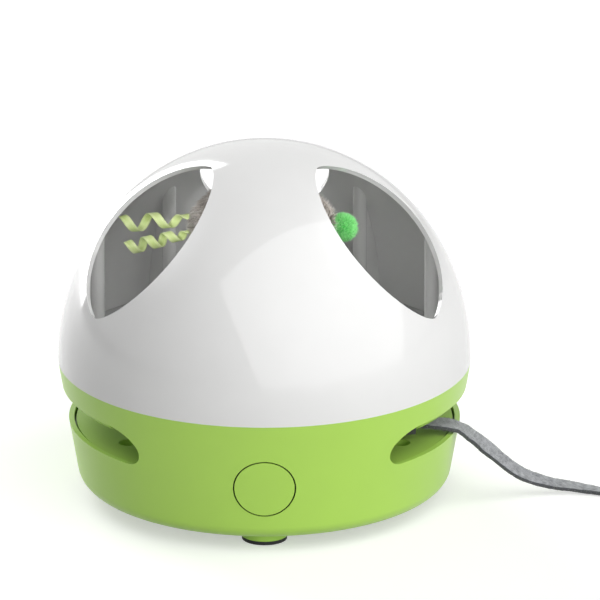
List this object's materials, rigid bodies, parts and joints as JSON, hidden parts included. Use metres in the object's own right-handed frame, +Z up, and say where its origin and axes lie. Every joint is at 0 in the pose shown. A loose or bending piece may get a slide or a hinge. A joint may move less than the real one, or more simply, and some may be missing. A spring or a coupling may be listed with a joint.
{
  "type": "hiding mouse cat toy",
  "caption": "Battery cat toy: domed housing with egg-shaped windows over a turning plush mouse, on a round base with side slots for a swinging felt tail and a front power button.",
  "frame": {"origin": "on the floor under the middle of the base", "axes": "+Z up, -Y towards the front with the power button, +X to the right seen from the front"},
  "size_m": [0.3069, 0.22, 0.1925],
  "materials": {
    "green_plastic": "satin moulded ABS, light green",
    "deck_plastic": "matte moulded ABS, light green",
    "white_plastic": "gloss moulded ABS, white",
    "grey_plastic": "matte moulded ABS, mid grey",
    "rubber_pad": "matte rubber",
    "screw_steel": "zinc-plated steel",
    "motor_steel": "drawn steel",
    "cell_jacket": "plain printed jacket, no words",
    "dark_plastic": "matte moulded plastic, dark grey",
    "circuit_board": "solder-masked laminate",
    "gear_plastic": "natural acetal",
    "bush_brass": "sintered bronze",
    "grey_felt": "thick pressed felt",
    "plush_fur": "short pile plush, grey brown",
    "green_felt": "thin felt",
    "bead_black": "polished bead",
    "pompom_yarn": "yarn pompom",
    "ribbon_cloth": "curled ribbon"
  },
  "bodies": {
    "base": {"base_housing": "green_plastic", "bottom_cover": "green_plastic", "foot_pads": "rubber_pad", "cover_screws": "screw_steel", "battery_door": "deck_plastic", "battery_door_screw": "screw_steel", "battery_cells": "cell_jacket", "battery_contacts": "screw_steel", "speaker": "dark_plastic", "control_board": "circuit_board", "control_board_screws": "screw_steel", "slot_deck": "deck_plastic", "deck_screws": "screw_steel", "drive_plate": "gear_plastic", "drive_plate_screws": "screw_steel", "mouse_motor": "motor_steel", "tail_motor": "motor_steel", "motor_screws": "screw_steel", "lower_bush": "bush_brass", "upper_bush": "bush_brass", "dome_floor": "grey_plastic", "dome_screws": "screw_steel", "dome_shell": "white_plastic", "switch_body": "dark_plastic", "switch_board": "circuit_board", "switch_board_screws": "screw_steel"},
    "mouse_rotor": {"mouse_gear": "gear_plastic", "mouse_shaft": "motor_steel", "shaft_clip": "screw_steel", "mouse_stem": "dark_plastic", "mouse_body": "plush_fur", "mouse_ears": "green_felt", "mouse_eyes": "bead_black", "mouse_nose": "pompom_yarn", "ribbon_upper": "ribbon_cloth", "ribbon_lower": "ribbon_cloth"},
    "mouse_pinion": {"mouse_pinion": "gear_plastic"},
    "tail_rotor": {"tail_gear": "gear_plastic", "tail_arm": "dark_plastic", "tail_clip": "dark_plastic", "hub_retainer": "screw_steel", "tail_strip": "grey_felt"},
    "tail_pinion": {"tail_pinion": "gear_plastic"},
    "power_button": {"power_button": "green_plastic", "switch_plunger": "dark_plastic"}
  },
  "joints": [
    {"name": "mouse_spin", "type": "hinge", "parent": "base", "child": "mouse_rotor", "pos_m": [0, 0, 0.031], "axis": [0, 0, 1], "continuous": true},
    {"name": "mouse_pinion_spin", "type": "hinge", "parent": "base", "child": "mouse_pinion", "pos_m": [0.0252, 0, 0.031], "axis": [0, 0, 1], "continuous": true},
    {"name": "tail_swing", "type": "hinge", "parent": "base", "child": "tail_rotor", "pos_m": [0, 0, 0.036], "axis": [0, 0, 1], "range_deg": [-30, 55]},
    {"name": "tail_pinion_spin", "type": "hinge", "parent": "base", "child": "tail_pinion", "pos_m": [-0.0252, 0, 0.036], "axis": [0, 0, 1], "range_deg": [-170, 95]},
    {"name": "button_press", "type": "slide", "parent": "base", "child": "power_button", "axis": [0, 0.9851, 0.1719], "range_m": [0, 0.0018], "stiffness_N_per_m": 400, "springref_m": -0.001}
  ],
  "couplings": [
    {"joint": "mouse_pinion_spin", "follows": "mouse_spin", "ratio": -3},
    {"joint": "tail_pinion_spin", "follows": "tail_swing", "ratio": -3}
  ]
}
